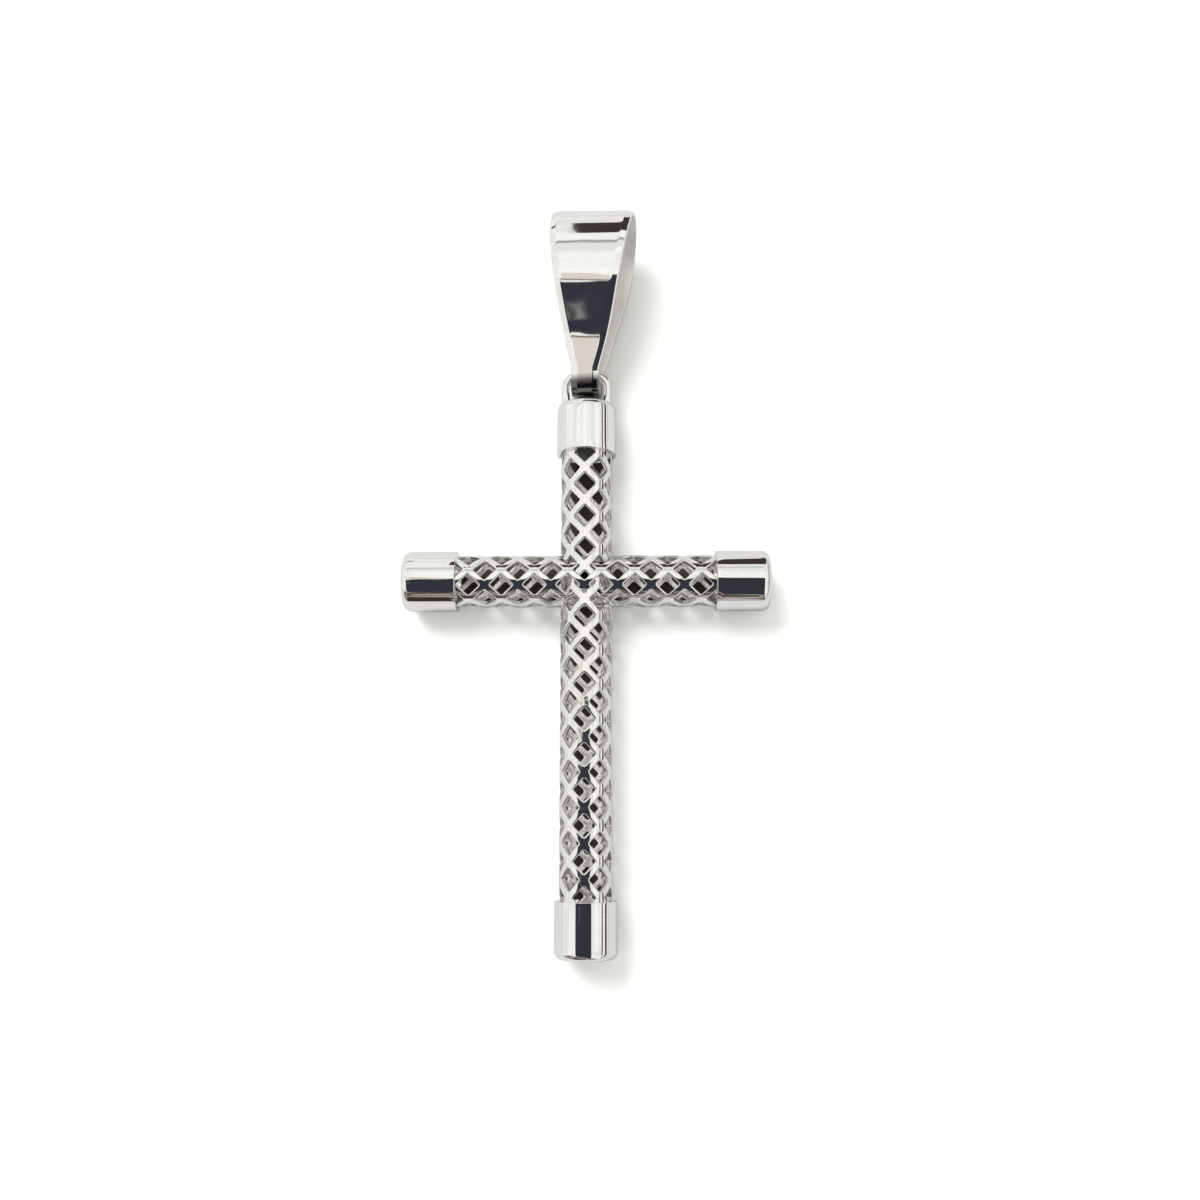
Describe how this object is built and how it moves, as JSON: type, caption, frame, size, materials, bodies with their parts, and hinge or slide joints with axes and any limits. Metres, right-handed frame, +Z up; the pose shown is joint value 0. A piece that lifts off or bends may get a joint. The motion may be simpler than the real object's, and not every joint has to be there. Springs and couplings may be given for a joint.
{
  "type": "cross pendant",
  "caption": "Silver cross pendant of two crossing pierced lattice tubes with plain rounded end caps, a fixed eye on the top cap and a swinging folded bail.",
  "frame": {"origin": "middle of the whole box's width and length, on the table that the pendant lies on", "axes": "+Y up the cross towards the bail, +X towards the right arm seen from the front, +Z up from the table out of the front face"},
  "size_m": [0.0254, 0.0525, 0.0064],
  "materials": {
    "lattice_silver": "polished silver, brightly plated outside and a little duller in the openings and the bore",
    "cap_silver": "mirror polished plated silver with faint wear along the rims",
    "bail_silver": "mirror polished outside, unpolished and mottled grey inside the fold"
  },
  "bodies": {
    "cross": {"lattice_upright": "lattice_silver", "lattice_arm_left": "lattice_silver", "lattice_arm_right": "lattice_silver", "top_cap": "cap_silver", "bottom_cap": "cap_silver", "left_cap": "cap_silver", "right_cap": "cap_silver"},
    "bail": {"bail": "bail_silver"}
  },
  "joints": [
    {"name": "bail_swing", "type": "hinge", "parent": "cross", "child": "bail", "pos_m": [0, 0.0142, 0.0021], "axis": [1, 0, 0], "range_deg": [-88, 88]}
  ]
}
